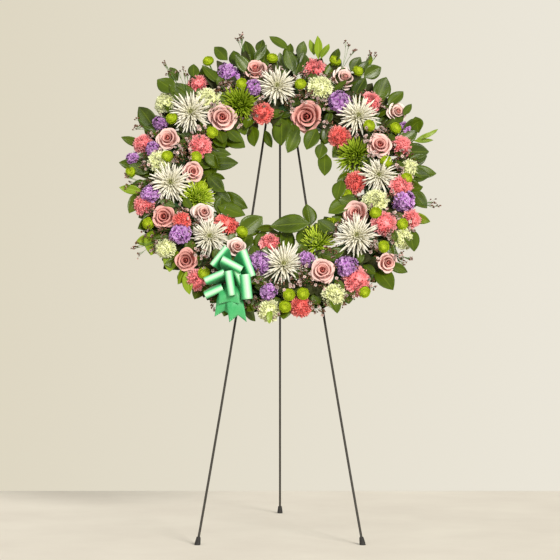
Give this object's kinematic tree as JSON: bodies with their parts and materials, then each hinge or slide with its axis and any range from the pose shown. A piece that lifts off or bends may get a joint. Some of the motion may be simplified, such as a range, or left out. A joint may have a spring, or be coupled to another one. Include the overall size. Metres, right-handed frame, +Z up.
{
  "type": "memorial wreath on an easel",
  "caption": "Round funeral wreath of mixed fresh blooms and leaves in a wet foam ring, with a green ribbon bow, leaning on a folding three-leg wire easel.",
  "frame": {"origin": "centre of the footprint on the floor, between the two front feet and the rear foot", "axes": "+Z up, -Y towards the viewer of the blooms, +X to that viewer's right"},
  "size_m": [0.9664, 0.8178, 1.4765],
  "materials": {
    "easel_wire": "dark brown-black enamelled wire, slightly glossy",
    "rubber_tip": "matt black moulded rubber",
    "satin_ribbon": "glossy satin ribbon, mint outside and deep green in the folds",
    "white_petals": "white spider chrysanthemum petals with a yellow-green centre",
    "green_petals": "lime green chrysanthemum petals",
    "rose_petals": "soft pink rose petals, paler at the rims",
    "coral_petals": "ruffled coral carnation petals",
    "pale_green_petals": "ruffled pale green carnation petals",
    "purple_petals": "purple stock florets",
    "small_white_blooms": "tiny pink-white filler blossoms",
    "leaves": "broad waxy green leaves with a paler midrib",
    "stems": "fresh green stems and calyces",
    "wet_foam": "dark green crumbly floral foam soaked with water",
    "tray_plastic": "dark green moulded plastic"
  },
  "bodies": {
    "wreath_and_front_frame": {"front_left_leg": "easel_wire", "front_left_foot_tip": "rubber_tip", "front_right_leg": "easel_wire", "front_right_foot_tip": "rubber_tip", "top_bridge": "easel_wire", "crossbar": "easel_wire", "wreath_rest_left": "easel_wire", "wreath_rest_right": "easel_wire", "hanging_wire": "easel_wire", "bow_pick": "easel_wire", "ribbon_bow": "satin_ribbon", "bow_tails": "satin_ribbon", "white_spider_mum_1": "white_petals", "white_spider_mum_2": "white_petals", "white_spider_mum_3": "white_petals", "white_spider_mum_4": "white_petals", "white_spider_mum_5": "white_petals", "white_spider_mum_6": "white_petals", "white_spider_mum_7": "white_petals", "white_spider_mum_8": "white_petals", "green_spider_mum_1": "green_petals", "green_spider_mum_2": "green_petals", "green_spider_mum_3": "green_petals", "green_spider_mum_4": "green_petals", "pink_rose_1": "rose_petals", "pink_rose_2": "rose_petals", "pink_rose_3": "rose_petals", "pink_rose_4": "rose_petals", "pink_rose_5": "rose_petals", "pink_rose_6": "rose_petals", "pink_rose_7": "rose_petals", "pink_rose_8": "rose_petals", "pink_rose_9": "rose_petals", "pink_rose_10": "rose_petals", "pink_rose_11": "rose_petals", "pink_rose_12": "rose_petals", "pink_rose_13": "rose_petals", "pink_rose_14": "rose_petals", "pink_rose_15": "rose_petals", "coral_carnation_1": "coral_petals", "coral_carnation_2": "coral_petals", "coral_carnation_3": "coral_petals", "coral_carnation_4": "coral_petals", "coral_carnation_5": "coral_petals", "coral_carnation_6": "coral_petals", "coral_carnation_7": "coral_petals", "coral_carnation_8": "coral_petals", "coral_carnation_9": "coral_petals", "leaf_mat_1": "leaves", "leaf_mat_2": "leaves", "leaf_mat_3": "leaves", "leaf_mat_4": "leaves", "leaf_mat_5": "leaves", "leaf_mat_6": "leaves", "leaf_mat_7": "leaves", "leaf_mat_8": "leaves", "foam_ring": "wet_foam", "foam_tray": "tray_plastic"},
    "rear_leg": {"rear_leg": "easel_wire", "rear_foot_tip": "rubber_tip"}
  },
  "joints": [
    {"name": "rear_leg_fold", "type": "hinge", "parent": "wreath_and_front_frame", "child": "rear_leg", "pos_m": [0, 0.16566, 1.40005], "axis": [-1, 0, 0], "range_deg": [0, 30.5]}
  ]
}
